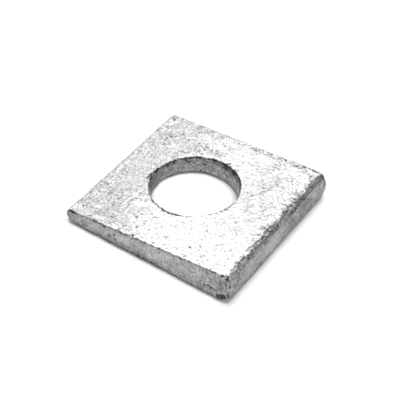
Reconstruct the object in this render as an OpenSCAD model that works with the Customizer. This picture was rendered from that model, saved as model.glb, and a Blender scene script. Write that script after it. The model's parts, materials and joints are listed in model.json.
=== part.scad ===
// Square taper washer: a short length of tapered bar with one bolt hole.
// Sizes are in millimetres and angles in degrees.
// The flat underside lies on z = 0 with its middle at the origin, and the plate
// gets thicker towards +X. The sides that face -X and +X are the bar's rolled
// edges, and the sides that face -Y and +Y were cut across the bar. The hole is
// square to the sloped face, so a bolt through it leans as the slope does.

/* [Plate] */
// Length from the crown of the thin rolled side to the crown of the thick one
rolled_length = 38.6; // [36:0.1:60]
// Length from one cut side to the other, at its widest
cut_length = 38.1; // [36:0.1:60]
// Thickness at the thin side, before its edges are rounded
thin_edge = 3.1; // [2.5:0.1:6]
// Slope of the top face
taper_angle = 5; // [2:0.5:8]
// Radius of the four upright corners, seen from above
corner_radius = 0.7; // [0.4:0.1:4]
// Radius that rounds off the foot of each upright corner
corner_foot_radius = 2.8; // [0.5:0.1:3]

/* [Rolled sides] */
// How far the crown of each rolled side stands out past its edges
crown = 0.25; // [0.1:0.05:0.4]
// Radius along the top of the thick side
thick_top_radius = 1.6; // [0.4:0.1:1.7]
// Radius along the top of the thin side
thin_top_radius = 1; // [0.3:0.1:1.1]
// Radius along the bottom of both rolled sides
rolled_bottom_radius = 0.9; // [0.3:0.1:1.1]

/* [Cut sides] */
// Radius along the bottom of both cut sides
cut_bottom_radius = 0.9; // [0.3:0.1:1.1]
// Lean of the cut sides, inwards as they rise
cut_lean = 8; // [0:0.5:10]

/* [Bolt hole] */
// Diameter of the hole, which clears a 16 mm bolt
hole_diameter = 18; // [10:0.1:22]
// Middle of the hole at the top face, measured towards the thick side
hole_x = -1.6; // [-3:0.05:3]
// Middle of the hole, measured along the rolled sides
hole_y = 0.85; // [-3:0.05:3]
// How far the hole widens at the top face, all round
breakout_width = 0.35; // [0.1:0.05:1]
// Depth at which that widening starts
breakout_depth = 1.2; // [0.4:0.1:1.4]
// Radius round the hole's lower rim
lower_rim_radius = 0.9; // [0.3:0.1:1.1]

/* [Hidden] */

$fn = 96;

// Radius of a rolled side's crown, as a share of the plate's thickness there
crown_share = 0.42;
// How far cutting shapes run past the faces that they cut
overrun = 2;
// How far the lower rim's rounding laps over the slanting bore wall
rim_lap = 0.03;
// How far a slanting flank sits inside its two discs, so that it ends without a step
flank_lap = 0.0005;

half_rolled = rolled_length / 2;
half_cut = cut_length / 2;
hole_radius = hole_diameter / 2;
thick_edge = thin_edge + rolled_length * tan(taper_angle);

// Height of the sloped top face above the underside, at a distance x from the middle
function top_height(x) = thin_edge + (x + half_rolled) * tan(taper_angle);

// Height of the middle of a disc of radius r that touches the top face from below
function tucked_height(x, r) = top_height(x) - r / cos(taper_angle);

// A disc is [x, y, radius]
function middle(disc) = [disc[0], disc[1]];

// Direction, square to the straight flank that touches disc a and then disc b, on the outside
function flank_normal(a, b) =
    let (step = middle(b) - middle(a),
         along = step / norm(step),
         out = [along[1], -along[0]],
         lean = (a[2] - b[2]) / norm(step))
    out * sqrt(1 - lean * lean) + along * lean;

// Distance from a disc's middle to a flank whose outward direction is out
function flank_reach(disc, out) = disc[2] - (out[0] * out[1] == 0 ? 0 : flank_lap);

// Outline drawn tight round discs that are listed anticlockwise: the discs themselves are
// its corners, and a polygon through their middles and touching points is its straight flanks
module rounded_outline(discs) {
    count = len(discs);
    polygon([
        for (i = [0 : count - 1])
            let (a = discs[i],
                 b = discs[(i + 1) % count],
                 out = flank_normal(a, b))
            each [middle(a),
                  middle(a) + flank_reach(a, out) * out,
                  middle(b) + flank_reach(b, out) * out]
    ]);
    for (disc = discs)
        translate(middle(disc))
            circle(r = disc[2]);
}

// Section of the rolled bar, thin side on the left and sloped face on top
module bar_section() {
    foot = half_rolled - crown - rolled_bottom_radius;
    thick_head = half_rolled - crown - thick_top_radius;
    thin_head = -half_rolled + crown + thin_top_radius;
    thick_crown = crown_share * thick_edge;
    thin_crown = crown_share * thin_edge;
    rounded_outline([
        [-foot, rolled_bottom_radius, rolled_bottom_radius],
        [foot, rolled_bottom_radius, rolled_bottom_radius],
        [half_rolled - thick_crown, thick_edge / 2, thick_crown],
        [thick_head, tucked_height(thick_head, thick_top_radius), thick_top_radius],
        [thin_head, tucked_height(thin_head, thin_top_radius), thin_top_radius],
        [-half_rolled + thin_crown, thin_edge / 2, thin_crown]
    ]);
}

// Section between the two cut sides, which carries on above the plate
module cut_section() {
    foot = half_cut - cut_bottom_radius;
    rise = thick_edge + overrun;
    head = foot - rise * tan(cut_lean);
    rounded_outline([
        [-foot, cut_bottom_radius, cut_bottom_radius],
        [foot, cut_bottom_radius, cut_bottom_radius],
        [head, cut_bottom_radius + rise, cut_bottom_radius],
        [-head, cut_bottom_radius + rise, cut_bottom_radius]
    ]);
}

// Plate seen from above
module plan_outline() {
    x = half_rolled - corner_radius;
    y = half_cut - corner_radius;
    rounded_outline([
        [-x, -y, corner_radius],
        [x, -y, corner_radius],
        [x, y, corner_radius],
        [-x, y, corner_radius]
    ]);
}

// Plate without its hole: what the bar's section, the two cuts and the plan have in common
module plate() {
    intersection() {
        rotate([90, 0, 0])
            linear_extrude(height = cut_length + 2 * overrun, center = true)
                bar_section();
        rotate([90, 0, 90])
            linear_extrude(height = rolled_length + 2 * overrun, center = true)
                cut_section();
        translate([0, 0, -overrun])
            linear_extrude(height = thick_edge + 2 * overrun)
                plan_outline();
    }
}

// Everything that the punch took out: the bore is square to the sloped face
module hole_cutter() {
    drop = top_height(hole_x) + overrun;
    widening = breakout_width / breakout_depth;
    translate([hole_x, hole_y, top_height(hole_x)])
        rotate([0, -taper_angle, 0]) {
            translate([0, 0, -drop])
                cylinder(h = drop + overrun, r = hole_radius);
            translate([0, 0, -breakout_depth])
                cylinder(h = breakout_depth + overrun,
                         r1 = hole_radius,
                         r2 = hole_radius + widening * (breakout_depth + overrun));
        }
}

// Ring that rounds a foot off: its arc of radius r meets the underside at a distance of
// touch from the upright axis, and it cuts away what lies between near and far
module foot_cutter(touch, r, near, far) {
    rotate_extrude()
        difference() {
            translate([near, -overrun])
                square([far - near, overrun + r]);
            translate([touch, r])
                circle(r = r);
        }
}

// Rounding of the hole's lower rim, about an upright axis that meets the bore's own axis
// at the height where the rounding starts
module lower_rim_cutter() {
    touch = hole_radius + lower_rim_radius - rim_lap;
    drift = (top_height(hole_x) - lower_rim_radius) * tan(taper_angle);
    translate([hole_x + drift, hole_y, 0])
        foot_cutter(touch, lower_rim_radius, hole_radius - lower_rim_radius, touch);
}

// Rounding of all four corners' feet, by one ring round the middle of the plate
module corner_foot_cutter() {
    corner_reach = norm([half_rolled - corner_radius, half_cut - corner_radius]) + corner_radius;
    touch = corner_reach - corner_foot_radius;
    foot_cutter(touch, corner_foot_radius, touch, corner_reach + overrun);
}

module taper_washer() {
    color("silver")
        difference() {
            plate();
            hole_cutter();
            lower_rim_cutter();
            corner_foot_cutter();
        }
}

taper_washer();
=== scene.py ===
import json
import math

import bpy
import numpy as np
from mathutils import Matrix, Vector, noise


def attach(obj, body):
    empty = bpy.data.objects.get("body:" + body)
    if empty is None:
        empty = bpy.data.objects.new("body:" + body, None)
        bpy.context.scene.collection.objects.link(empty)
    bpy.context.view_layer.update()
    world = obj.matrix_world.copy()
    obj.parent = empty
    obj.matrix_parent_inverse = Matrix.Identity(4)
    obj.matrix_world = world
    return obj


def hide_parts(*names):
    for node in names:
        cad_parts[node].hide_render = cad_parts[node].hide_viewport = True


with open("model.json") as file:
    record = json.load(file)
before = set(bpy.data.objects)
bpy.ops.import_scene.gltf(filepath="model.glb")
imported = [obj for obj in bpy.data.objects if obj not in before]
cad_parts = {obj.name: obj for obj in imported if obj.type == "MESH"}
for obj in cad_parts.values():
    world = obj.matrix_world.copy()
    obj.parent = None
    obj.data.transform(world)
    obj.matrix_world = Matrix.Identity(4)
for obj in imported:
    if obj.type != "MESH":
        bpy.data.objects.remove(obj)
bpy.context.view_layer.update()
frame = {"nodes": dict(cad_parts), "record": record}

mm = 0.001
print("frame loaded, nodes:", sorted(frame["nodes"]))


# Small helpers for node trees

def plug(tree, socket, value):
    # a socket gets a link, anything else goes in as it is
    if isinstance(value, bpy.types.NodeSocket):
        tree.links.new(value, socket)
    else:
        socket.default_value = value


def addNode(tree, kind, fill=None, **settings):
    made = tree.nodes.new(kind)
    for name, value in settings.items():
        setattr(made, name, value)
    for key, value in (fill or {}).items():
        plug(tree, made.inputs[key], value)
    return made


def calc(tree, operation, *terms):
    return addNode(tree, "ShaderNodeMath", dict(enumerate(terms)), operation=operation).outputs[0]


def rampTo(tree, value, fromLow, fromHigh, toLow=0.0, toHigh=1.0):
    # smooth step between two values, clamped at both ends
    made = addNode(tree, "ShaderNodeMapRange", interpolation_type="SMOOTHSTEP")
    for socket, term in zip(made.inputs, (value, fromLow, fromHigh, toLow, toHigh)):
        plug(tree, socket, term)
    return made.outputs[0]


def vectorCalc(tree, operation, *terms):
    made = addNode(tree, "ShaderNodeVectorMath", operation=operation)
    sockets = [s for s in made.inputs if s.enabled]
    for socket, term in zip(sockets, terms):
        plug(tree, socket, term)
    return next(s for s in made.outputs if s.enabled)


# The washer's steel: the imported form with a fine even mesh, then its dents and nicks

washer = {
    "node": "taper_washer",
    "weldReach": 0.002 * mm,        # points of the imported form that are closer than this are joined
    "cell": 0.195 * mm,             # edge of the fine mesh's faces
    "softShare": 0.5,               # how far each pass softens the sharp edges
    "softPasses": 2,
    # dents and nicks: place on the surface in mm, reach in mm, depth in mm
    "dents": (
        (16.8, -2.2, 6.1, 1.6, 0.25),
        (16.9, -4.4, 6.1, 1.4, 0.22),
        (17.0, -6.2, 6.1, 1.0, 0.20),
        (16.8, 10.4, 6.1, 1.6, 0.18),
        (-10.9, 0.6, 3.9, 0.6, 0.25),
        (-11.0, -0.8, 3.9, 0.5, 0.22),
        (0.4, 10.5, 4.8, 0.6, 0.25),
        (7.7, 1.9, 5.4, 0.7, 0.20),
        (6.0, -3.7, 5.3, 0.6, 0.20),
        (1.4, -7.7, 4.9, 0.6, 0.20),
        (-3.4, 10.2, 4.4, 0.5, 0.18),
        (-3.7, -18.45, 4.4, 0.8, 0.25),
        (16.3, -17.9, 6.1, 0.7, 0.14),
        (17.6, -18.0, 5.9, 0.6, 0.14),
        (-18.0, -2.2, 3.2, 0.5, 0.10),
        (-15.3, -11.3, 3.4, 0.4, 0.12),
        (-12.2, -10.8, 3.7, 0.4, 0.12),
        (-5.9, -9.8, 4.3, 0.5, 0.12),
        (-4.1, -11.0, 4.4, 0.5, 0.14),
        (12.6, -6.0, 5.9, 0.5, 0.14),
        (16.0, -8.2, 6.1, 0.4, 0.10),
        (3.0, -16.7, 5.1, 0.4, 0.10),
        (16.9, 13.6, 6.1, 0.8, 0.12),
        (18.3, -18.5, 6.0, 1.1, 0.20),
        (17.0, -18.3, 6.1, 0.5, 0.22),
        (-8.5, -18.9, 2.1, 0.5, 0.14),
        (8.5, 18.2, 5.4, 0.5, 0.12),
    ),
    "dentShadow": 1.4,              # how much painted shade a dent gets for each mm of its depth
    # small pits, darkened with painted shade
    "pits": (
        # towards the back corner
        (-17.8, 17.4, 3.2), (-17.4, 17.0, 3.2), (-17.4, 14.4, 3.2), (-18.4, 12.3, 3.1), (-15.2, 10.8, 3.4),
        (-14.7, 11.9, 3.5), (-14.0, 12.4, 3.5), (-12.9, 13.9, 3.6), (-13.2, 13.3, 3.6), (-11.0, 12.7, 3.8),
        (-11.7, 15.2, 3.7), (-10.3, 16.3, 3.9), (-10.6, 15.1, 3.8), (-14.5, 9.0, 3.5), (-11.1, 18.2, 3.8),
        (-8.5, 13.1, 4.0), (-6.3, 13.0, 4.2), (-9.9, 8.9, 3.9),
        # wall of the hole, and its rim at the back and on the left
        (-10.8, 1.0, 3.4), (-9.6, 5.3, 3.5), (-7.9, 7.5, 3.5), (-7.4, 7.7, 3.1), (-2.8, 10.0, 4.2),
        (-4.5, 9.3, 2.7), (2.4, 9.0, 3.0), (3.9, 8.1, 2.9), (-5.1, 9.0, 0.8), (-10.1, 3.9, 3.2),
        (1.3, 9.5, 1.0), (-8.2, 7.3, 3.8), (-5.7, 9.2, 4.1), (-3.1, 10.1, 4.4), (-6.6, 8.9, 4.2),
        (-10.8, 1.4, 3.6), (-10.6, 2.6, 3.5), (-10.3, 3.6, 3.5), (-9.5, 5.6, 3.7), (-10.8, 0.5, 3.5),
        # front cut side, its top edge and the front corner
        (-7.4, -18.8, 2.9), (-7.1, -18.9, 1.9), (13.6, -18.9, 2.2), (17.5, -18.5, 5.0),
        (19.1, -18.5, 4.5), (-12.1, -18.6, 3.6), (-10.0, -18.7, 3.6), (-6.9, -18.2, 4.1),
        # along the back cut, and on the bright zinc at the front
        (14.2, 18.0, 6.0), (12.6, 17.5, 5.9), (15.5, 18.1, 6.1), (16.1, 18.0, 6.2), (17.0, 18.0, 6.3),
        (11.2, 18.1, 5.8), (9.7, 17.9, 5.6), (6.3, 18.1, 5.3), (16.6, 18.0, 6.2), (14.0, 17.9, 6.0),
        (3.1, -17.0, 5.0), (8.0, -17.7, 5.5), (2.1, -15.0, 4.9), (-1.8, -15.0, 4.6), (-4.3, -15.7, 4.4),
        (1.0, -17.6, 4.9), (7.6, -14.9, 5.4), (-5.7, -12.0, 4.3), (-5.9, -13.2, 4.3), (-9.1, -8.5, 4.0),
        (-7.2, -8.3, 4.1), (-2.9, -11.3, 4.5),
    ),
    "pitReach": 0.45,               # in mm
    "pitDepth": 0.10,
    "pitShadow": 1.0,
    # small bright flecks: painted highlights
    "flecks": (
        (-17.3, 13.3, 3.2), (-16.6, 13.3, 3.3), (-14.4, 11.0, 3.5), (-13.6, 11.9, 3.6),
        (-9.0, 7.1, 4.0), (-8.1, 8.4, 4.1), (-6.5, 9.6, 4.2), (-5.0, 10.2, 4.3), (-3.7, 10.5, 4.4),
        (0.9, 9.5, 3.1), (2.0, 9.2, 2.5), (0.3, 9.7, 1.7), (2.7, 8.9, 3.2), (-7.8, 7.2, 1.9),
        (-11.9, -11.0, 3.7), (-16.8, -5.5, 3.3), (17.4, -18.4, 5.7), (18.9, -18.2, 5.7), (17.4, 17.2, 6.3),
    ),
    "fleckReach": 0.58,
    "fleckHighlight": 0.50,
    # marks where the zinc has gone dark or is painted with shade, or lighter where the strength is below
    # nought:
    # place on the surface in mm, reach in mm, strength
    "stainsAndShade": (
        # thick side's top edge: its dark stretches and its light ones
        (18.4, -11.0, 6.0, 1.6, 0.10),
        (18.5, -5.1, 5.8, 1.2, 0.22),
        (17.6, -2.6, 6.2, 2.2, 0.22),
        (18.5, -1.0, 5.9, 2.0, 0.22),
        (18.4, 9.6, 6.0, 2.2, 0.25),
        (18.4, 15.5, 6.0, 2.6, 0.12),
        (18.6, 17.5, 5.6, 1.3, 0.38),
        (18.2, -17.0, 6.1, 1.4, -0.45),
        (18.2, -15.0, 6.0, 1.8, -0.20),
        (18.9, -8.2, 5.2, 2.0, -0.14),
        (18.9, -1.0, 5.1, 1.8, -0.20),
        (18.3, 11.3, 5.9, 1.8, -0.30),
        (18.9, 13.4, 5.3, 2.4, -0.25),
        (18.8, 14.9, 5.3, 0.8, -0.30),
        # thick side under that edge: its dull patches and its light ones
        (19.0, -17.2, 3.0, 2.0, 0.52),
        (19.0, -15.8, 4.0, 2.8, 0.25),
        (19.2, -10.4, 3.0, 2.6, 0.30),
        (19.2, -7.2, 2.8, 2.0, 0.46),
        (19.2, -7.4, 1.8, 1.5, 0.30),
        (19.2, -5.0, 2.3, 1.5, 0.28),
        (19.2, -1.0, 3.0, 3.5, 0.15),
        (19.2, 1.0, 2.8, 1.4, 0.42),
        (19.2, 1.4, 2.2, 1.3, 0.35),
        (19.2, 4.4, 3.5, 2.6, 0.50),
        (19.2, 4.2, 1.8, 2.0, 0.12),
        (19.2, 8.5, 3.0, 4.5, 0.25),
        (19.2, 12.5, 3.0, 4.5, 0.35),
        (19.2, 15.6, 2.5, 2.2, 0.38),
        (19.2, 17.5, 3.0, 3.0, 0.25),
        (19.0, 17.6, 1.3, 1.7, 0.34),
        (19.0, 18.2, 3.0, 0.8, 0.35),
        (19.2, -6.5, 3.2, 3.0, -0.20),
        (19.2, -2.5, 2.6, 3.0, -0.20),
        (19.1, 16.9, 4.4, 0.7, -0.35),
        # front corner: painted shade under its rounded foot, its top, and the smudges beside it
        (17.0, -19.0, 1.3, 0.9, 0.80),
        (17.8, -19.0, 1.5, 0.9, 0.90),
        (18.4, -18.9, 1.8, 0.6, 0.60),
        (17.8, -18.8, 1.2, 1.3, 0.50),
        (19.0, -16.2, 4.8, 1.8, 0.22),
        (18.9, -18.7, 2.7, 0.9, 0.35),
        (17.5, -18.7, 0.8, 1.2, 0.90),
        (18.4, -18.3, 1.0, 1.2, 0.80),
        (18.5, -18.8, 1.4, 0.8, 0.50),
        (19.0, -18.7, 1.9, 0.9, 0.60),
        (18.2, -18.4, 5.9, 0.7, 0.80),
        (17.8, -18.4, 5.8, 0.5, 0.55),
        (17.0, -18.3, 6.1, 0.5, 0.70),
        # front cut side: its left end, its top edge, a spot, its foot and its tone along the way
        (-18.7, -18.6, 2.3, 1.3, 0.40),
        (-18.4, -18.7, 1.4, 1.0, 0.45),
        (-5.4, -18.5, 4.0, 1.2, 0.40),
        (-8.5, -18.9, 2.1, 0.7, 1.00),
        (-15.4, -18.8, 2.6, 2.2, -0.15),
        (-9.0, -18.8, 2.8, 3.0, -0.10),
        (-13.2, -18.8, 1.7, 1.2, -0.20),
        (13.5, -18.9, 3.0, 5.0, 0.12),
        (17.4, -18.9, 3.0, 2.2, 0.40),
        (10.0, -18.8, 3.0, 1.4, 0.16),
        (8.4, -18.9, 1.5, 1.4, 0.20),
        (13.0, -18.9, 1.6, 1.6, 0.18),
        (12.0, -18.4, 5.1, 1.0, 0.16),
        (-1.0, -18.9, 1.5, 1.8, 0.16),
        (2.0, -18.4, 4.9, 0.9, -0.42),
        (-8.2, -18.7, 3.3, 1.2, -0.15),
        (-13.0, -18.7, 3.0, 1.6, 0.12),
        (-17.2, -18.9, 1.6, 1.4, 0.18),
        # hole: painted shade under the rim at the back and at both ends of its wall
        (-2.4, 10.2, 4.2, 0.8, 0.60),
        (0.3, 9.9, 4.3, 1.6, 0.80),
        (2.5, 9.1, 4.5, 1.5, 0.80),
        (-10.2, -2.2, 2.2, 3.2, 0.45),
        (-10.5, -0.6, 1.6, 2.2, 0.30),
        (-9.8, -3.2, 2.4, 2.0, 0.30),
        (6.4, 5.0, 3.0, 2.6, 0.25),
        # soft patches on the top, dark ones and light ones
        (15.0, 0.4, 5.9, 2.4, 0.18),
        (13.0, -3.2, 5.9, 2.2, 0.22),
        (11.7, 11.0, 5.8, 2.6, 0.14),
        (10.9, 8.0, 5.8, 2.0, 0.20),
        (9.3, 14.6, 5.6, 2.2, 0.20),
        (-14.6, 12.0, 3.5, 1.8, 0.15),
        (-3.6, 12.0, 4.5, 2.6, 0.42),
        (-5.8, 12.2, 4.3, 1.6, 0.20),
        (8.0, 12.8, 5.5, 2.6, 0.22),
        (10.6, 0.2, 5.6, 1.6, 0.14),
        (-6.0, -16.8, 4.3, 2.2, 0.42),
        (-9.2, -17.0, 4.0, 2.0, 0.22),
        (-2.8, -17.0, 4.6, 1.8, 0.20),
        (-16.4, -16.2, 3.4, 2.0, 0.16),
        (-15.8, -13.6, 3.4, 2.6, 0.12),
        (-17.0, -8.6, 3.3, 2.4, 0.18),
        (-14.2, -11.0, 3.5, 2.0, 0.12),
        (-3.4, -14.0, 4.5, 1.6, 0.18),
        (-12.4, -11.2, 3.7, 2.4, 0.20),
        (-11.2, -14.0, 3.8, 1.8, -0.22),
        (-17.0, 5.6, 3.3, 2.2, -0.25),
        (-11.2, 5.2, 3.8, 1.6, -0.12),
        (-10.5, 14.0, 3.9, 2.2, -0.15),
        (-14.6, -9.0, 3.5, 4.0, 0.08),
        (-11.8, 8.9, 3.7, 3.6, -0.10),
        (-17.0, -3.0, 3.3, 2.0, -0.10),
        # bright patches in front of the hole, towards the back corner and along the thin side
        (-7.8, -9.6, 4.1, 2.4, -0.30),
        (-9.8, -7.6, 3.9, 1.4, -0.20),
        (-5.0, -8.8, 4.3, 1.8, -0.20),
        (-8.4, 15.2, 4.0, 2.4, -0.30),
        (-5.7, 14.9, 4.3, 2.0, -0.12),
        (-12.2, 15.3, 3.7, 1.2, -0.25),
        (-14.4, 15.6, 3.5, 1.0, -0.20),
        (-16.2, 16.2, 3.3, 2.4, -0.22),
        (-18.2, -17.4, 3.2, 0.9, -0.35),
        (-18.1, -2.0, 3.2, 1.2, -0.30),
    ),
    # dark or light lines: two ends in mm, reach in mm, strength
    "lines": (
        # front corner: a scratch beside it, and the double upright line of painted shade with a painted
        # highlight between
        ((14.3, -18.9, 2.5), (16.5, -18.9, 2.2), 0.32, 0.75),
        ((18.0, -18.4, 5.5), (18.3, -18.7, 3.7), 0.32, 0.45),
        ((18.7, -18.4, 5.6), (18.9, -18.6, 4.2), 0.32, 0.45),
        ((18.3, -18.4, 5.4), (18.6, -18.7, 4.0), 0.30, -0.20),
        # tone of both near sides along their length
        ((19.2, -15.0, 1.4), (19.2, 15.0, 1.4), 2.20, 0.20),
        ((19.2, 3.0, 4.0), (19.2, 10.0, 4.0), 2.60, 0.14),
        ((-14.0, -18.7, 2.4), (-4.0, -18.7, 3.1), 1.50, -0.20),
        ((-4.0, -18.7, 3.1), (12.0, -18.7, 4.2), 1.60, -0.10),
        ((-11.0, -19.0, 0.8), (6.0, -19.0, 0.8), 1.20, 0.18),
        ((-18.0, -19.0, 1.2), (14.5, -19.0, 1.2), 1.10, 0.16),
        ((-10.5, -18.5, 3.8), (-5.5, -18.5, 4.2), 0.50, -0.30),
        ((-2.4, -19.0, 0.7), (2.2, -19.0, 0.7), 1.10, 0.46),
        # left corner
        ((-18.8, -18.5, 2.9), (-17.1, -18.7, 3.3), 0.50, 0.90),
        ((-19.2, -18.3, 2.4), (-18.9, -18.5, 1.2), 0.70, 0.45),
        # right corner, down its upright edge
        ((18.9, 17.9, 5.4), (19.2, 18.3, 3.4), 0.70, 0.40),
        # darker strip along the back cut
        ((-8.0, 17.5, 4.1), (3.0, 17.5, 5.0), 1.60, 0.20),
        ((3.0, 17.5, 5.0), (14.0, 17.5, 6.0), 1.80, 0.32),
        # streaks in front of the hole
        ((-9.9, -10.2, 3.9), (-9.4, -7.6, 4.0), 0.30, 0.28),
        ((-10.3, -10.0, 3.9), (-9.8, -7.8, 3.9), 0.30, -0.30),
        ((-10.7, -9.8, 3.9), (-10.2, -8.0, 3.9), 0.30, 0.28),
        # hole: painted shade and a painted highlight along its doubled edge on the left, and a painted
        # highlight on the lip at the back
        ((-11.1, -2.2, 3.8), (-11.2, 0.4, 3.8), 0.32, 1.00),
        ((-10.75, -1.7, 3.5), (-10.75, -0.2, 3.6), 0.30, -0.45),
        ((-9.4, 7.4, 4.0), (-7.2, 9.6, 4.2), 0.80, -0.15),
        ((-7.2, 9.6, 4.2), (-3.3, 11.0, 4.5), 0.80, -0.15),
        # hole: a band of painted shade inside its rim on the right
        ((3.6, 8.5, 4.4), (6.0, 6.0, 4.5), 1.10, 0.40),
        ((6.0, 6.0, 4.5), (7.3, 3.2, 4.6), 1.10, 0.40),
        # beside the thick side's rough edge, and on it
        ((17.3, -17.7, 6.3), (17.2, -10.0, 6.3), 0.60, -0.20),
        ((17.2, -15.0, 6.3), (17.2, -10.8, 6.3), 0.28, 0.75),
        ((17.8, -17.2, 6.25), (17.75, -11.0, 6.25), 0.42, 0.32),
        ((17.7, -9.6, 6.25), (17.6, -5.6, 6.25), 0.60, 0.45),
        ((18.2, -17.4, 6.1), (18.2, -9.0, 6.1), 0.80, 0.08),
        ((17.1, -10.5, 6.3), (17.5, -7.0, 6.3), 0.30, 0.55),
        ((18.35, 3.7, 6.05), (18.3, 7.0, 6.1), 0.28, -0.60),
        ((17.9, -4.4, 6.2), (18.0, -1.2, 6.2), 0.70, 0.16),
        ((17.4, 4.0, 6.3), (17.4, 8.4, 6.3), 0.45, 0.25),
        ((17.9, 3.8, 6.2), (17.9, 7.8, 6.2), 0.45, 0.45),
        ((18.75, 4.2, 5.65), (18.7, 8.6, 5.7), 0.40, 0.40),
    ),
    # rough band along the thick side: where it starts and where it is full, in mm
    "edgeFrom": 16.5,
    "edgeTo": 17.6,
    "edgeFacing": 0.35,             # it fades out where the steel faces up less than this
    "edgeDepth": 0.12,              # in mm
    "edgeHollow": (0.50, 0.75),     # its hollows' mean and their swing, as shares of that depth
    "edgeGrain": (0.40, 2.6, 0.5),  # size of its lumps along X, Y and Z, in mm
    "rimStep": 0.3,                 # how far the rim lies outside the bolt hole's radius, in mm
    "rimReach": 0.7,                # how far its ragged part reaches each way, in mm
    "rimGrain": 0.55,               # size of its nicks, in mm
    "rimBurr": 0.10,                # height of the burr round it, in mm
    "rimNick": 0.22,                # depth of the nicks in it, in mm
    "rimShadow": 0.55,              # how dark the torn steel just inside it is, partly painted shade
    "rimFade": 0.25,                # width of that steel's border, in mm
    "rimHighlight": 0.70,               # how bright the painted highlight on the burr is
    "shineStep": 0.35,              # how far outside the rim it is brightest, in mm
    "shineReach": 0.45,             # how far the brightness reaches from there, in mm
    "shineDepth": 0.2,              # and how far down, in mm
    "topFacing": 0.97,              # the flat top faces up more than this
    # stretches where the rim is torn wider: middle and half width in degrees, widening in mm, darkness
    "rimArcs": (
        (186, 16, 0.30, 0.25),
        (212, 15, 0.00, -0.35),
        (262, 38, 0.65, 0.45),
        (302, 60, 0.28, 0.25),
        (348, 20, 0.45, 0.10),
    ),
    "leastWidening": 0.05,          # less than this doesn't count as torn wider, in mm
    "streakFrom": 17.00,            # where the dark streaks along the thick side's top edge start, in mm
    "streakWander": 0.5,            # how far that border wanders, in mm
    "streakBend": 1.1,              # length of its bends, in mm
    "streakFade": 0.5,              # width of its fading, in mm
    "streakFacing": (0.15, 0.60),   # the streaks start and are full where the steel faces up this much
    "flatFacing": (0.75, 1.00),     # and here the rounding ends and the flat part is full
    "streakGrain": (0.30, 2.5, 0.30),
    # how dark they are on the flat part and on the rounding, and how far the lines among them differ
    "streakShadow": (0.45, 0.16, 0.14),
    "cutEdgeReach": 0.40,           # width of the dark line along the front cut's top edge, in mm
    "cutEdgeDepth": 0.08,           # how far below the sloped face its middle is, in mm
    "cutEdgeFacing": -0.20,         # it lies where the steel's Y direction is less than this
    "cutEdgeGrain": (1.2, 0.4),     # length and height of the breaks in it, in mm
    "cutEdgeShadow": 0.80,
    "cutEdgeShares": (0.35, 0.75),  # least and mean share of that darkness
    "cutEdgeFade": 70.0,            # it gets fainter towards the thick side, by all of it over this many mm
}


def bakeModifiers(piece):
    # the evaluated result becomes the piece's own plain mesh
    graph = bpy.context.evaluated_depsgraph_get()
    result = bpy.data.meshes.new_from_object(piece.evaluated_get(graph))
    piece.modifiers.clear()
    piece.data = result
    return piece


def fineCopy(node, values):
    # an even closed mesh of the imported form
    copy = node.data.copy()
    piece = bpy.data.objects.new("washerSteel", copy)
    bpy.context.scene.collection.objects.link(piece)
    weld = piece.modifiers.new("weld", "WELD")
    weld.merge_threshold = values["weldReach"]
    even = piece.modifiers.new("even", "REMESH")
    even.mode = "VOXEL"
    even.voxel_size = values["cell"]
    even.adaptivity = 0.0
    soft = piece.modifiers.new("soft", "SMOOTH")
    soft.factor = values["softShare"]
    soft.iterations = values["softPasses"]
    return bakeModifiers(piece)


def readPoints(mesh, kind="co"):
    flat = np.empty(len(mesh.vertices) * 3, np.float32)
    mesh.vertices.foreach_get(kind, flat)
    return flat.reshape(-1, 3).astype(float)


def writePoints(mesh, points):
    # the points are in mm
    mesh.vertices.foreach_set("co", (points * mm).ravel())
    mesh.update()


def addDarkness(mesh, dark):
    # how far each point is painted darker, with stains and painted shade, or lighter with painted highlights,
    # for the finish to read
    stainAndShade = mesh.attributes.get("stainAndShade") or mesh.attributes.new("stainAndShade", "FLOAT", "POINT")
    before = np.zeros(len(dark))
    stainAndShade.data.foreach_get("value", before)
    stainAndShade.data.foreach_set("value", before + dark)


def smoothShare(value, low=0.0, high=1.0):
    # rises smoothly from nought at low to one at high
    share = np.clip((value - low) / (high - low), 0.0, 1.0)
    return share * share * (3.0 - 2.0 * share)


def nearShare(points, place, reach):
    # one at the place, and nought from the reach outwards
    away = np.linalg.norm(points - np.array(place), axis=1)
    return smoothShare(1.0 - away / reach)


def lumpAt(place, roughness=0.8, gap=2.2, layers=3):
    # uneven lumps, above nought on one half of the places and below it on the other
    return noise.fractal(Vector(place), roughness, gap, layers)


def pressDents(mesh, values):
    # each dent moves the surface in along its own normals
    points = readPoints(mesh) / mm
    normals = readPoints(mesh, "normal")
    push = np.zeros(len(points))
    pits = [(*pit, values["pitReach"], values["pitDepth"]) for pit in values["pits"]]
    for x, y, z, reach, depth in [*values["dents"], *pits]:
        push += depth * nearShare(points, (x, y, z), reach)
    writePoints(mesh, points - normals * push[:, None])


def markStainsAndShade(mesh, values):
    # stains, painted shade in the dents and pits, and painted highlights on the flecks
    points = readPoints(mesh) / mm
    dark = np.zeros(len(points))
    dents = [(*dent[:4], dent[4] * values["dentShadow"]) for dent in values["dents"]]
    pits = [(*pit, values["pitReach"], values["pitShadow"]) for pit in values["pits"]]
    flecks = [(*fleck, values["fleckReach"], -values["fleckHighlight"]) for fleck in values["flecks"]]
    for x, y, z, reach, strength in [*values["stainsAndShade"], *dents, *pits, *flecks]:
        dark += strength * nearShare(points, (x, y, z), reach)
    for start, end, reach, strength in values["lines"]:
        along = np.array(end) - np.array(start)
        fromStart = points - np.array(start)
        share = np.clip(fromStart @ along / (along @ along), 0.0, 1.0)
        away = np.linalg.norm(fromStart - share[:, None] * along, axis=1)
        dark += strength * smoothShare(1.0 - away / reach)
    addDarkness(mesh, dark)


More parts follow.
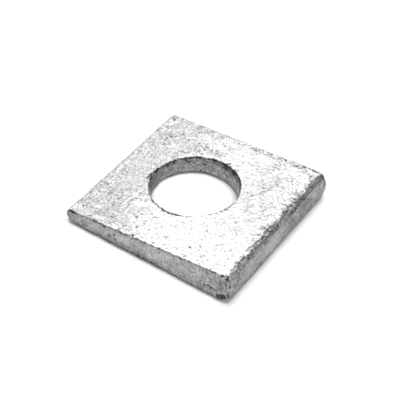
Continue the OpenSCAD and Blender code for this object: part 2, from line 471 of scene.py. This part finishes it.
def roughenThickEdge(mesh, values):
    # the rolled edge's top rounding is uneven, with lumps drawn out along the side
    points = readPoints(mesh) / mm
    normals = readPoints(mesh, "normal")
    share = smoothShare(points[:, 0], values["edgeFrom"], values["edgeTo"])
    share *= smoothShare(normals[:, 2], 0.0, values["edgeFacing"])
    mean, swing = values["edgeHollow"]
    size = np.array(values["edgeGrain"])
    for i in np.nonzero(share > 0.0)[0]:
        hollow = max(0.0, mean + swing * lumpAt(points[i] / size))
        points[i] -= normals[i] * share[i] * values["edgeDepth"] * hollow
    writePoints(mesh, points)


def roughenRim(mesh, bolt, seat, values):
    # the punch left a ragged rim: a burr on the sloped face, painted with a highlight, nicks, and dark torn
    # steel inside, partly painted shade
    points = readPoints(mesh) / mm
    normals = readPoints(mesh, "normal")
    axis = np.array(bolt["axis"])
    fromBolt = points - np.array(bolt["pos_m"]) / mm
    outward = fromBolt - np.outer(fromBolt @ axis, axis)
    radius = np.linalg.norm(outward, axis=1)
    outward /= radius[:, None]
    outside = radius - bolt["dims"]["r_mm"] - values["rimStep"]
    depth = (np.array(seat["pos_m"]) / mm - points) @ axis
    reach = values["rimReach"]
    near = smoothShare(1.0 - np.abs(outside) / reach) * smoothShare(1.0 - depth / reach)
    lumps = np.zeros(len(points))
    for i in np.nonzero(near > 0.0)[0]:
        lumps[i] = lumpAt(points[i] / values["rimGrain"])
    burr = near * values["rimBurr"] * np.clip(0.4 + lumps, 0.0, 1.0)
    nick = near * values["rimNick"] * np.clip(lumps, 0.0, 1.0)
    writePoints(mesh, points + axis * burr[:, None] + outward * nick[:, None])

    wider = np.zeros(len(points))
    shadow = np.full(len(points), values["rimShadow"])
    degrees = np.degrees(np.arctan2(outward[:, 1], outward[:, 0]))
    for middle, half, width, extra in values["rimArcs"]:
        turn = (degrees - middle + 180.0) % 360.0 - 180.0
        share = smoothShare(2.0 * (1.0 - np.abs(turn) / half))
        wider += width * share * (0.7 + lumps)
        shadow += extra * share
    wide = wider > values["leastWidening"]
    torn = smoothShare((wider - outside) / values["rimFade"] + 0.6)
    torn *= smoothShare(1.0 - depth / (reach + 0.4 * lumps))
    torn *= (normals[:, 2] < values["topFacing"]) | wide
    lit = smoothShare(1.0 - np.abs(outside - values["shineStep"]) / values["shineReach"])
    lit *= (depth < values["shineDepth"]) & ~wide
    lit *= np.clip(lumps + 0.25, 0.0, 1.0)
    addDarkness(mesh, shadow * torn - values["rimHighlight"] * lit)


def darkenCutEdge(mesh, seat, values):
    # painted shade in a thin dark line along the front side's rounded top edge, broken by the coat's lumps
    points = readPoints(mesh) / mm
    normals = readPoints(mesh, "normal")
    depth = (np.array(seat["pos_m"]) / mm - points) @ np.array(seat["axis"])
    near = smoothShare(1.0 - np.abs(depth - values["cutEdgeDepth"]) / values["cutEdgeReach"])
    near *= normals[:, 1] < values["cutEdgeFacing"]
    length, height = values["cutEdgeGrain"]
    least, mean = values["cutEdgeShares"]
    for i in np.nonzero(near > 0.0)[0]:
        lump = lumpAt((points[i][0] / length, points[i][2] / height, 5.0))
        fainter = points[i][0] / values["cutEdgeFade"]
        near[i] *= min(1.0, max(least, mean + lump - fainter))
    addDarkness(mesh, values["cutEdgeShadow"] * near)


def streakThickEdge(mesh, values):
    # painted shade in dark and light lines along the rolled edge's rounding, whose inner border is ragged
    points = readPoints(mesh) / mm
    normals = readPoints(mesh, "normal")
    ahead = points[:, 0] - values["streakFrom"]
    facing = smoothShare(normals[:, 2], *values["streakFacing"])
    flat = smoothShare(normals[:, 2], *values["flatFacing"])
    onFlat, onRounding, onLines = values["streakShadow"]
    size = np.array(values["streakGrain"])
    dark = np.zeros(len(points))
    for i in np.nonzero((ahead > -1.0) & (facing > 0.0))[0]:
        border = values["streakWander"] * lumpAt((0.0, points[i][1] / values["streakBend"], 3.0))
        inside = facing[i] * smoothShare((ahead[i] - border) / values["streakFade"])
        line = lumpAt(points[i] / size)
        dark[i] = inside * (onFlat * flat[i] + onRounding * (1.0 - flat[i]) + onLines * line)
    addDarkness(mesh, dark)


mounts = {mount["name"]: mount for mount in frame["record"]["mounts"]}
bolt = mounts["bolt_hole"]
seat = mounts["nut_seat"]

steel = fineCopy(frame["nodes"][washer["node"]], washer)
markStainsAndShade(steel.data, washer)
streakThickEdge(steel.data, washer)
pressDents(steel.data, washer)
roughenThickEdge(steel.data, washer)
roughenRim(steel.data, bolt, seat, washer)
darkenCutEdge(steel.data, seat, washer)
print("steel form ready:", len(steel.data.vertices), "points")


# Zinc finish: darker grey on the upright faces, partly duller zinc and partly painted shade, brighter and
# frosted on the flat ones

finish = {
    # colours: frosted zinc and dull zinc with its flecks and specks, the upright sides (partly duller zinc,
    # partly painted shade), the hole (painted shade), worn edges (wear and painted shade), pits and the lower
    # sides, and the painted shade on the foot
    "bright": (0.84, 0.845, 0.85),
    "dull": (0.50, 0.505, 0.51),
    "fleck": (0.95, 0.955, 0.96),
    "speck": (0.30, 0.303, 0.306),
    "shadedSideLight": (0.46, 0.464, 0.468),
    "shadedSideDark": (0.33, 0.333, 0.336),
    "shadedBoreLight": (0.41, 0.413, 0.416),
    "shadedBoreDark": (0.21, 0.212, 0.214),
    "wornAndShaded": (0.39, 0.393, 0.396),
    "darkGrey": (0.12, 0.12, 0.125),
    "footShade": (0.05, 0.05, 0.052),
    "metal": 0.85,
    "roughLow": 0.36,
    "roughHigh": 0.56,
    "dullRough": 0.1,               # how much rougher the dull zinc is
    # sizes of the patterns in mm
    "cloudSize": 2.6,
    "moodSize": 4.5,
    "blotchSize": 1.1,
    "blotchStretch": (0.8, 1.8, 0.8),
    "fleckSize": 0.50,
    "grainSize": 0.24,
    "cellSize": 0.42,
    "coarseCell": 0.40,
    "coarseStretch": (0.8, 2.4, 0.8),
    "edgeStreak": (0.26, 3.0, 0.26),
    "fleckDepth": 0.16,
    "grainDepth": 0.10,
    "leastRelief": 0.95,            # share of those two depths where the zinc is calm
    # the thin side's zinc is dull, from full to none across this stretch of X in mm
    "dullSide": (-10.0, -1.5),
    "dullWander": 9.0,              # how far its border wanders, in mm
    "dullShare": 0.60,              # how far it takes on the dull colour
    "fleckShare": 0.62,             # how bright its flecks are
    # its pattern is calm beside the hole and near the left corner: middles and reaches in mm,
    # and how far it calms down
    "calmPatches": (((-12.5, 3.5), (5.5, 10.0)), ((-15.5, -10.0), (4.5, 5.5))),
    "calmShare": 0.45,
    # streaky patch between the hole and the thick side: middle, reach and streaks, in mm
    "hazeMiddle": (10.8, 4.0),
    "hazeReach": (9.0, 14.5),
    "hazeTurn": 62.0,               # way that the streaks run, in degrees from X
    "hazeStreak": (3.4, 0.80, 1.0),
    "hazeLine": (2.0, 0.42, 1.0),
    "ovalFade": (0.3, 1.1),         # where the patches start to fade and end, as shares of their reach
    # ramps: the pattern's values where each starts and ends, then what it gives there
    "moodRamp": (0.38, 0.60, 0.35, 1.5),
    "blotchRamp": (0.44, 0.64, 0.0, 0.22),
    "streakRamp": (0.46, 0.62, 0.0, 0.45),
    "lineRamp": (0.50, 0.62, 0.0, 0.35),
    "fleckRamp": (0.76, 0.80, 0.0, 1.0),
    "speckRamp": (0.93, 0.965, 0.0, 1.0),
    "speckCrowding": 0.10,          # how many more specks there are on the dull and hazy zinc
    "speckShares": (0.75, 0.35),    # how dark they are outside the haze and in it
    "sideRamp": (0.35, 0.65, 0.0, 1.0),
    "sideSpeckRamp": (0.84, 0.90, 0.0, 0.45),
    "boreRamp": (0.40, 0.60, 0.0, 1.0),
    "wornAndShadedRamp": (0.25, 0.60, 0.0, 0.85),
    "wornShadedFlecks": 0.9,              # how far the flecks and the cells make the edges' wear and painted shade jagged
    "wornShadedCells": 0.4,
    "pitRamp": (0.02, 0.16, 0.0, 0.7),
    "lowDarkRamp": (0.3, 2.6, 0.25, 0.0),
    "shadeRamp": (0.30, 0.70, -0.20, 0.20),
    "ridgeRamp": (0.35, 0.65, -0.17, 0.17),
    "stainAndShadeRamp": (0.30, 0.70, 1.2, 0.5),
    "roughRange": (0.3, 0.7),
    "sideCells": 0.50,              # how far the cells show on the upright sides and on the dull zinc
    "dullCells": 0.40,
    "darkest": 0.1,                 # least share of its colour that grain, stains and painted shade leave
}


def readMark(tree, name):
    # one of the marks that the washer's points carry
    return addNode(tree, "ShaderNodeAttribute", attribute_name=name).outputs["Fac"]


def centred(tree, value, width):
    # from a value between nought and one to one that swings round nought
    return calc(tree, "MULTIPLY", calc(tree, "SUBTRACT", value, 0.5), width)


def sizedNoise(tree, place, size, detail=2.0, stretch=(1.0, 1.0, 1.0), turn=0.0, shift=(0.0, 0.0, 0.0)):
    # noise whose lumps are about size across, in the units of the place
    turned = addNode(tree, "ShaderNodeMapping", {
        "Vector": place,
        "Location": shift,
        "Rotation": (0.0, 0.0, math.radians(turn)),
        "Scale": tuple(size * s for s in stretch),
    }, vector_type="TEXTURE").outputs[0]
    return addNode(tree, "ShaderNodeTexNoise", {
        "Vector": turned,
        "Scale": 1.0,
        "Detail": detail,
        "Roughness": 0.55,
    }).outputs[0]


def cellValues(tree, place, size, stretch, shift):
    # one random value for each small cell
    moved = addNode(tree, "ShaderNodeMapping", {
        "Vector": place,
        "Location": shift,
        "Scale": tuple(size * s for s in stretch),
    }, vector_type="TEXTURE").outputs[0]
    cells = addNode(tree, "ShaderNodeTexVoronoi", {"Vector": moved, "Scale": 1.0})
    return addNode(tree, "ShaderNodeSeparateColor", {0: cells.outputs["Color"]}).outputs[0]


def ovalPatch(tree, split, middle, reach, fade):
    # one in the middle of an oval on the flat faces, fading out towards its rim
    across = calc(tree, "DIVIDE", calc(tree, "SUBTRACT", split.outputs["X"], middle[0]), reach[0])
    along = calc(tree, "DIVIDE", calc(tree, "SUBTRACT", split.outputs["Y"], middle[1]), reach[1])
    squared = calc(tree, "ADD", calc(tree, "MULTIPLY", across, across), calc(tree, "MULTIPLY", along, along))
    return rampTo(tree, calc(tree, "SQRT", squared), *fade, 1.0, 0.0)


def mixColours(tree, share, first, second):
    made = addNode(tree, "ShaderNodeMix", data_type="RGBA")
    sockets = [s for s in made.inputs if s.enabled]
    for socket, term in zip(sockets, (share, first, second)):
        plug(tree, socket, (*term, 1.0) if isinstance(term, tuple) else term)
    return next(s for s in made.outputs if s.enabled)


def zincFinish(values):
    material = bpy.data.materials.new("galvanisedSteel")
    material.use_nodes = True
    tree = material.node_tree
    tree.nodes.clear()
    place = addNode(tree, "ShaderNodeTexCoord").outputs["Object"]
    inMm = addNode(tree, "ShaderNodeMapping", {"Vector": place, "Scale": (1.0 / mm,) * 3}).outputs[0]
    split = addNode(tree, "ShaderNodeSeparateXYZ", {0: inMm})
    upright = readMark(tree, "upright")
    inBore = readMark(tree, "inBore")
    edge = readMark(tree, "edge")
    foot = readMark(tree, "foot")
    dip = readMark(tree, "dip")
    stainAndShade = readMark(tree, "stainAndShade")

    # the patterns, which are shifted so that no two of a kind lie in the same place
    cloud = sizedNoise(tree, inMm, values["cloudSize"], 4.0)
    mood = sizedNoise(tree, inMm, values["moodSize"], 2.0, shift=(4.0, 6.0, 8.0))
    blotch = sizedNoise(tree, inMm, values["blotchSize"], 3.0, values["blotchStretch"], shift=(2.0, 9.0, 4.0))
    streak = sizedNoise(tree, inMm, 1.0, 3.0, values["hazeStreak"], values["hazeTurn"])
    line = sizedNoise(tree, inMm, 1.0, 2.0, values["hazeLine"], values["hazeTurn"])
    ridge = sizedNoise(tree, inMm, 1.0, 2.0, values["edgeStreak"])
    fleck = sizedNoise(tree, inMm, values["fleckSize"], 2.0, shift=(7.0, 3.0, 1.0))
    grain = sizedNoise(tree, inMm, values["grainSize"], 3.0)
    cells = cellValues(tree, inMm, values["cellSize"], (1.0, 1.0, 1.0), (0.0, 0.0, 0.0))
    coarse = cellValues(tree, inMm, values["coarseCell"], values["coarseStretch"], (5.0, 1.0, 3.0))

    # the thin side's zinc has gone dull, with a ragged border, and a patch by the thick side is hazy
    dullAt = calc(tree, "ADD", split.outputs["X"], centred(tree, cloud, values["dullWander"]))
    thinDull = rampTo(tree, dullAt, *values["dullSide"], 1.0, 0.0)
    hazy = ovalPatch(tree, split, values["hazeMiddle"], values["hazeReach"], values["ovalFade"])
    rugged = calc(tree, "MAXIMUM", thinDull, hazy)
    contrast = rampTo(tree, mood, *values["moodRamp"])
    for middle, reach in values["calmPatches"]:
        calm = ovalPatch(tree, split, middle, reach, values["ovalFade"])
        calmed = calc(tree, "MULTIPLY_ADD", calm, -values["calmShare"], 1.0)
        contrast = calc(tree, "MULTIPLY", contrast, calmed)
    ruggedContrast = calc(tree, "MULTIPLY", rugged, contrast)

    # top: the dull zinc with its patches, and the haze's streaks and lines
    dulled = calc(tree, "MULTIPLY", thinDull, values["dullShare"])
    top = mixColours(tree, dulled, values["bright"], values["dull"])
    patchy = calc(tree, "MULTIPLY", rugged, rampTo(tree, blotch, *values["blotchRamp"]))
    patchy = calc(tree, "MULTIPLY", patchy, contrast)
    top = mixColours(tree, patchy, top, values["dull"])
    streaky = calc(tree, "MULTIPLY", hazy, rampTo(tree, streak, *values["streakRamp"]))
    top = mixColours(tree, streaky, top, values["dull"])
    lined = calc(tree, "MULTIPLY", hazy, rampTo(tree, line, *values["lineRamp"]))
    top = mixColours(tree, lined, top, values["dull"])
    # crisp light flecks on the dull zinc, and dark specks all over, sparse on the bright zinc
    lightCell = calc(tree, "MULTIPLY", rampTo(tree, coarse, *values["fleckRamp"]), contrast)
    lightShare = calc(tree, "MULTIPLY", thinDull, values["fleckShare"])
    top = mixColours(tree, calc(tree, "MULTIPLY", lightCell, lightShare), top, values["fleck"])
    crowded = calc(tree, "MULTIPLY_ADD", ruggedContrast, values["speckCrowding"], cells)
    darkCell = rampTo(tree, crowded, *values["speckRamp"])
    darkShare = rampTo(tree, hazy, 0.0, 1.0, *values["speckShares"])
    top = mixColours(tree, calc(tree, "MULTIPLY", darkCell, darkShare), top, values["speck"])

    # upright sides and the wall of the hole, darker than the top: partly duller zinc and partly painted shade
    sideShare = rampTo(tree, cloud, *values["sideRamp"])
    sides = mixColours(tree, sideShare, values["shadedSideLight"], values["shadedSideDark"])
    sides = mixColours(tree, rampTo(tree, cells, *values["sideSpeckRamp"]), sides, values["speck"])
    colour = mixColours(tree, upright, top, sides)
    # the hole's wall is darker still: painted shade in the hole, mottled
    mottle = calc(tree, "ADD", calc(tree, "MULTIPLY", fleck, 0.5), calc(tree, "MULTIPLY", blotch, 0.5))
    boreShare = rampTo(tree, mottle, *values["boreRamp"])
    shadedBore = mixColours(tree, boreShare, values["shadedBoreLight"], values["shadedBoreDark"])
    colour = mixColours(tree, inBore, colour, shadedBore)
    # the wear and painted shade on rounded edges end in a jagged line
    jagged = calc(tree, "ADD", edge, centred(tree, fleck, values["wornShadedFlecks"]))
    jagged = calc(tree, "ADD", jagged, centred(tree, cells, values["wornShadedCells"]))
    colour = mixColours(tree, rampTo(tree, jagged, *values["wornAndShadedRamp"]), colour, values["wornAndShaded"])
    # darker grey in the pits
    colour = mixColours(tree, rampTo(tree, dip, *values["pitRamp"]), colour, values["darkGrey"])
    # upright faces darker towards the bottom, and painted shade on the foot
    low = calc(tree, "MULTIPLY", rampTo(tree, split.outputs["Z"], *values["lowDarkRamp"]), upright)
    colour = mixColours(tree, low, colour, values["darkGrey"])
    colour = mixColours(tree, foot, colour, values["footShade"])

    # light and dark grain over all of it, and the stains with their painted shade and highlights, which the
    # flecks break up
    cellShare = calc(tree, "MAXIMUM", calc(tree, "MULTIPLY", upright, values["sideCells"]),
                     calc(tree, "MULTIPLY", thinDull, values["dullCells"]))
    mosaic = centred(tree, cells, cellShare)
    shade = calc(tree, "ADD", rampTo(tree, fleck, *values["shadeRamp"]),
                 rampTo(tree, grain, *values["shadeRamp"]))
    shade = calc(tree, "ADD", shade, mosaic)
    ridges = calc(tree, "MULTIPLY", rampTo(tree, ridge, *values["ridgeRamp"]), edge)
    shade = calc(tree, "ADD", shade, ridges)
    broken = calc(tree, "MULTIPLY", stainAndShade, rampTo(tree, fleck, *values["stainAndShadeRamp"]))
    shade = calc(tree, "SUBTRACT", calc(tree, "ADD", shade, 1.0), broken)
    colour = addNode(tree, "ShaderNodeHueSaturation", {
        "Color": colour,
        "Value": calc(tree, "MAXIMUM", shade, values["darkest"]),
    }).outputs[0]

    rough = rampTo(tree, fleck, *values["roughRange"], values["roughLow"], values["roughHigh"])
    rough = calc(tree, "ADD", rough, calc(tree, "MULTIPLY", thinDull, values["dullRough"]))

    # the relief is stronger where the dull or hazy zinc's pattern is, and the haze's lines draw it out
    lively = calc(tree, "MAXIMUM", ruggedContrast, calc(tree, "MAXIMUM", upright, values["leastRelief"]))
    lump = calc(tree, "MULTIPLY_ADD", calc(tree, "SUBTRACT", line, fleck), hazy, fleck)
    relief = calc(tree, "ADD", calc(tree, "MULTIPLY", grain, values["grainDepth"] * mm),
                  calc(tree, "MULTIPLY", lump, values["fleckDepth"] * mm))
    bump = addNode(tree, "ShaderNodeBump", {
        "Height": calc(tree, "MULTIPLY", relief, lively),
        "Distance": 1.0,
        "Strength": 1.0,
    })

    shader = addNode(tree, "ShaderNodeBsdfPrincipled", {
        "Base Color": colour,
        "Metallic": values["metal"],
        "Roughness": rough,
        "Normal": bump.outputs[0],
    })
    output = addNode(tree, "ShaderNodeOutputMaterial")
    tree.links.new(shader.outputs[0], output.inputs[0])
    return material


# Zinc coat: lumps, grain, pimples and pits that follow the steel's surface

coat = {
    # the tree's named inputs
    "inputs": {
        "Bore Middle": tuple(bolt["pos_m"]),
        "Bore Reach": (bolt["dims"]["r_mm"] + 0.6) * mm,
        "Bore Fade": 0.3 * mm,
        "Foot Height": 0.72 * mm,
        "Foot Fade": 0.25 * mm,
        "Swell Size": 2.6 * mm,
        "Swell Height": 0.14 * mm,
        "Grain Size": 0.75 * mm,
        "Grain Height": 0.12 * mm,
        "Pimple Density": 60000.0,      # per square metre
        "Pimple Reach": 0.42 * mm,
        "Pimple Height": 0.07 * mm,
        "Pit Density": 130000.0,
        "Pit Reach": 0.34 * mm,
        "Pit Depth": 0.09 * mm,
        "Least Size": 0.45,             # pimples and pits are between these shares of their size
        "Most Size": 1.25,
        "Seed": 7,
    },
    # ramps over how far the steel faces each way: where each starts and ends, then what it gives there
    "uprightRamp": (0.30, 0.80, 1.0, 0.0),
    "edgeFlatRamp": (0.94, 0.992, 1.0, 0.0),
    "edgeSteepRamp": (0.3, 0.6, 0.0, 1.0),
    "wornAndShadedRamp": (-0.7, 0.0, 0.2, 1.0),
    "wornShadedTurn": 0.4,                    # how much less wear and painted shade an edge gets for facing up
    "cutWayRamp": (0.3, 0.6, 0.0, 1.0),
    "footSideRamp": (-0.32, -0.12, 1.0, 0.0),
    "undersideRamp": (-0.97, -0.85, 0.0, 1.0),
}


def scatterHeight(tree, given, density, reach, height, seed):
    # a smooth bump round each of the points scattered over the surface
    points = addNode(tree, "GeometryNodeDistributePointsOnFaces", {
        "Mesh": given["Geometry"],
        "Density": density,
        "Seed": seed,
    }).outputs["Points"]
    place = addNode(tree, "GeometryNodeInputPosition").outputs[0]
    nearest = addNode(tree, "GeometryNodeSampleNearest", {"Geometry": points}, domain="POINT").outputs[0]
    middle = addNode(tree, "GeometryNodeSampleIndex", {
        "Geometry": points,
        "Value": place,
        "Index": nearest,
    }, data_type="FLOAT_VECTOR", domain="POINT").outputs[0]
    growth = addNode(tree, "FunctionNodeRandomValue", data_type="FLOAT")
    sockets = [s for s in growth.inputs if s.enabled]
    plug(tree, sockets[0], given["Least Size"])
    plug(tree, sockets[1], given["Most Size"])
    plug(tree, growth.inputs["Seed"], seed)
    size = addNode(tree, "GeometryNodeSampleIndex", {
        "Geometry": points,
        "Value": next(s for s in growth.outputs if s.enabled),
        "Index": nearest,
    }, data_type="FLOAT", domain="POINT").outputs[0]
    away = vectorCalc(tree, "DISTANCE", place, middle)
    ownReach = calc(tree, "MULTIPLY", reach, size)
    share = rampTo(tree, calc(tree, "DIVIDE", away, ownReach), 0.0, 1.0, 1.0, 0.0)
    return calc(tree, "MULTIPLY", share, calc(tree, "MULTIPLY", height, size))


def zincCoatTree(values):
    tree = bpy.data.node_groups.new("zincCoat", "GeometryNodeTree")
    tree.interface.new_socket("Geometry", in_out="INPUT", socket_type="NodeSocketGeometry")
    for name, value in values["inputs"].items():
        kind = {int: "NodeSocketInt", float: "NodeSocketFloat", tuple: "NodeSocketVector"}[type(value)]
        tree.interface.new_socket(name, in_out="INPUT", socket_type=kind).default_value = value
    tree.interface.new_socket("Finish", in_out="INPUT", socket_type="NodeSocketMaterial")
    tree.interface.new_socket("Geometry", in_out="OUTPUT", socket_type="NodeSocketGeometry")
    given = addNode(tree, "NodeGroupInput").outputs
    place = addNode(tree, "GeometryNodeInputPosition").outputs[0]
    normal = addNode(tree, "GeometryNodeInputNormal").outputs[0]

    def lumps(size, height, detail, shift):
        shifted = vectorCalc(tree, "ADD", place, shift)
        scaled = vectorCalc(tree, "SCALE", shifted, calc(tree, "DIVIDE", 1.0, size))
        made = addNode(tree, "ShaderNodeTexNoise", {"Vector": scaled, "Scale": 1.0, "Detail": detail})
        return calc(tree, "MULTIPLY", calc(tree, "MULTIPLY_ADD", made.outputs[0], 2.0, -1.0), height)

    swell = lumps(given["Swell Size"], given["Swell Height"], 1.0, (0.31, 0.12, 0.05))
    grain = lumps(given["Grain Size"], given["Grain Height"], 2.0, (0.07, 0.23, 0.11))
    pimples = scatterHeight(tree, given, given["Pimple Density"], given["Pimple Reach"],
                            given["Pimple Height"], given["Seed"])
    pits = scatterHeight(tree, given, given["Pit Density"], given["Pit Reach"],
                         given["Pit Depth"], calc(tree, "ADD", given["Seed"], 1.0))
    raised = calc(tree, "ADD", calc(tree, "ADD", swell, grain), pimples)
    height = calc(tree, "SUBTRACT", raised, pits)

    # what the finish reads: which way the steel faces, and how deep the pits are in mm
    split = addNode(tree, "ShaderNodeSeparateXYZ", {0: normal})
    facing = calc(tree, "ABSOLUTE", split.outputs["Z"])
    upright = rampTo(tree, facing, *values["uprightRamp"])
    fromBore = vectorCalc(tree, "SUBTRACT", place, given["Bore Middle"])
    flat = vectorCalc(tree, "MULTIPLY", fromBore, (1.0, 1.0, 0.0))
    boreEnd = calc(tree, "ADD", given["Bore Reach"], given["Bore Fade"])
    near = rampTo(tree, vectorCalc(tree, "LENGTH", flat), given["Bore Reach"], boreEnd, 1.0, 0.0)
    # rounded edges get wear and painted shade, most of all those turned away from the light at the back left:
    # on the thick side, on the front cut and round the foot
    edge = calc(tree, "MULTIPLY", rampTo(tree, facing, *values["edgeFlatRamp"]),
                rampTo(tree, facing, *values["edgeSteepRamp"]))
    outward = calc(tree, "SUBTRACT", split.outputs["X"], split.outputs["Y"])
    outward = calc(tree, "SUBTRACT", outward, calc(tree, "MULTIPLY", split.outputs["Z"], values["wornShadedTurn"]))
    wornAndShaded = rampTo(tree, outward, *values["wornAndShadedRamp"])
    # painted shade on the lowest part of the cut sides and on the rounding of the foot, which turns down to
    # the floor; the flat underside gets none
    above = addNode(tree, "ShaderNodeSeparateXYZ", {0: place}).outputs["Z"]
    footEnd = calc(tree, "ADD", given["Foot Height"], given["Foot Fade"])
    cutWay = rampTo(tree, calc(tree, "ABSOLUTE", split.outputs["Y"]), *values["cutWayRamp"])
    cutWay = calc(tree, "MULTIPLY", cutWay, calc(tree, "SUBTRACT", 1.0, near))
    foot = calc(tree, "MAXIMUM", cutWay, rampTo(tree, split.outputs["Z"], *values["footSideRamp"]))
    foot = calc(tree, "MULTIPLY", foot, rampTo(tree, above, given["Foot Height"], footEnd, 1.0, 0.0))
    foot = calc(tree, "MULTIPLY", foot, rampTo(tree, split.outputs["Z"], *values["undersideRamp"]))
    marks = (
        ("foot", foot),
        ("upright", upright),
        ("inBore", calc(tree, "MULTIPLY", near, upright)),
        ("edge", calc(tree, "MULTIPLY", edge, wornAndShaded)),
        ("dip", calc(tree, "DIVIDE", pits, mm)),
    )
    shape = given["Geometry"]
    for name, value in marks:
        shape = addNode(tree, "GeometryNodeStoreNamedAttribute", {
            "Geometry": shape,
            "Name": name,
            "Value": value,
        }, data_type="FLOAT").outputs[0]
    moved = addNode(tree, "GeometryNodeSetPosition", {
        "Geometry": shape,
        "Offset": vectorCalc(tree, "SCALE", normal, height),
    })

    # nothing reaches below the face it rests on
    after = addNode(tree, "ShaderNodeSeparateXYZ", {0: addNode(tree, "GeometryNodeInputPosition").outputs[0]})
    lifted = addNode(tree, "ShaderNodeCombineXYZ", {
        "X": after.outputs["X"],
        "Y": after.outputs["Y"],
        "Z": calc(tree, "MAXIMUM", after.outputs["Z"], 0.0),
    })
    rested = addNode(tree, "GeometryNodeSetPosition", {
        "Geometry": moved.outputs[0],
        "Position": lifted.outputs[0],
    })
    real = addNode(tree, "GeometryNodeRealizeInstances", {"Geometry": rested.outputs[0]})
    smooth = addNode(tree, "GeometryNodeSetShadeSmooth", {"Geometry": real.outputs[0]})
    dressed = addNode(tree, "GeometryNodeSetMaterial", {
        "Geometry": smooth.outputs[0],
        "Material": given["Finish"],
    })
    output = addNode(tree, "NodeGroupOutput")
    tree.links.new(dressed.outputs[0], output.inputs[0])
    return tree


def coatWasher(piece, values, material):
    dip = piece.modifiers.new("zincCoat", "NODES")
    dip.node_group = zincCoatTree(values)
    for item in dip.node_group.interface.items_tree:
        if item.in_out != "INPUT" or item.socket_type == "NodeSocketGeometry":
            continue
        dip[item.identifier] = material if item.name == "Finish" else values["inputs"][item.name]
    return bakeModifiers(piece)


galvanised = zincFinish(finish)
coatWasher(steel, coat, galvanised)
steel.name = "galvanisedWasher"
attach(steel, "root")
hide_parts(washer["node"])
print("zinc coat ready:", len(steel.data.polygons), "faces")


# Stage: a plain pale floor and three soft lights, one far off at the back left, the strongest
# straight above, and one behind the camera

stage = {
    "floorSize": 3.0,
    "floorColour": (0.90, 0.90, 0.90),
    "floorRoughness": 0.9,
    "floorShine": 0.1,
    "air": 0.08,                    # strength of the even light from all round
    # each light: place and width in metres, power in watts
    "lights": {
        "keyLight": ((-0.32, 0.35, 0.36), 0.24, 0.85),
        "overLight": ((0.0, 0.0, 0.60), 0.40, 3.45),
        "frontLight": ((0.217, -0.381, 0.33), 0.30, 1.25),
    },
}


def addFloor(values):
    half = values["floorSize"] / 2
    corners = [(-half, -half, 0), (half, -half, 0), (half, half, 0), (-half, half, 0)]
    mesh = bpy.data.meshes.new("floor")
    mesh.from_pydata(corners, [], [(0, 1, 2, 3)])
    floor = bpy.data.objects.new("floor", mesh)
    bpy.context.scene.collection.objects.link(floor)
    material = bpy.data.materials.new("paleFloor")
    material.use_nodes = True
    shader = material.node_tree.nodes["Principled BSDF"]
    shader.inputs["Base Color"].default_value = (*values["floorColour"], 1.0)
    shader.inputs["Roughness"].default_value = values["floorRoughness"]
    shader.inputs["Specular IOR Level"].default_value = values["floorShine"]
    mesh.materials.append(material)


def addSoftLight(name, place, size, power):
    data = bpy.data.lights.new(name, "AREA")
    data.shape = "DISK"
    data.size = size
    data.energy = power
    light = bpy.data.objects.new(name, data)
    light.location = place
    light.rotation_euler = Vector(place).to_track_quat("Z", "Y").to_euler()
    bpy.context.scene.collection.objects.link(light)


def addAir(strength):
    world = bpy.data.worlds.new("studio")
    world.use_nodes = True
    background = world.node_tree.nodes["Background"]
    background.inputs["Color"].default_value = (1.0, 1.0, 1.0, 1.0)
    background.inputs["Strength"].default_value = strength
    bpy.context.scene.world = world


addFloor(stage)
for name, (place, size, power) in stage["lights"].items():
    addSoftLight(name, place, size, power)
addAir(stage["air"])
bpy.context.scene.view_settings.view_transform = "Standard"
print("stage ready")


# Camera: where the photograph was taken from

shot = {
    "azimuth": 29.69,               # degrees round from straight in front
    "elevation": 43.03,
    "roll": 4.99,
    "distance": 252.0 * mm,
    "across": 0.488 * mm,           # how far the eye sits off the line through the origin
    "up": 1.615 * mm,
    "lens": 111.3,
    "sensor": 36.0,                 # width of the picture behind the lens, in mm
    "nearest": 0.01,                # the camera sees nothing closer than this, in metres
}


def addCamera(values):
    azimuth = math.radians(values["azimuth"])
    elevation = math.radians(values["elevation"])
    roll = math.radians(values["roll"])
    back = Vector((math.sin(azimuth) * math.cos(elevation),
                   -math.cos(azimuth) * math.cos(elevation),
                   math.sin(elevation)))
    level = Vector((math.cos(azimuth), math.sin(azimuth), 0.0))
    above = back.cross(level)
    right = math.cos(roll) * level + math.sin(roll) * above
    up = math.cos(roll) * above - math.sin(roll) * level
    eye = back * values["distance"] + right * values["across"] + up * values["up"]
    data = bpy.data.cameras.new("camera")
    data.lens = values["lens"]
    data.sensor_width = values["sensor"]
    data.clip_start = values["nearest"]
    camera = bpy.data.objects.new("camera", data)
    camera.matrix_world = Matrix.Translation(eye) @ Matrix((right, up, back)).transposed().to_4x4()
    bpy.context.scene.collection.objects.link(camera)
    bpy.context.scene.camera = camera


addCamera(shot)
print("camera ready")
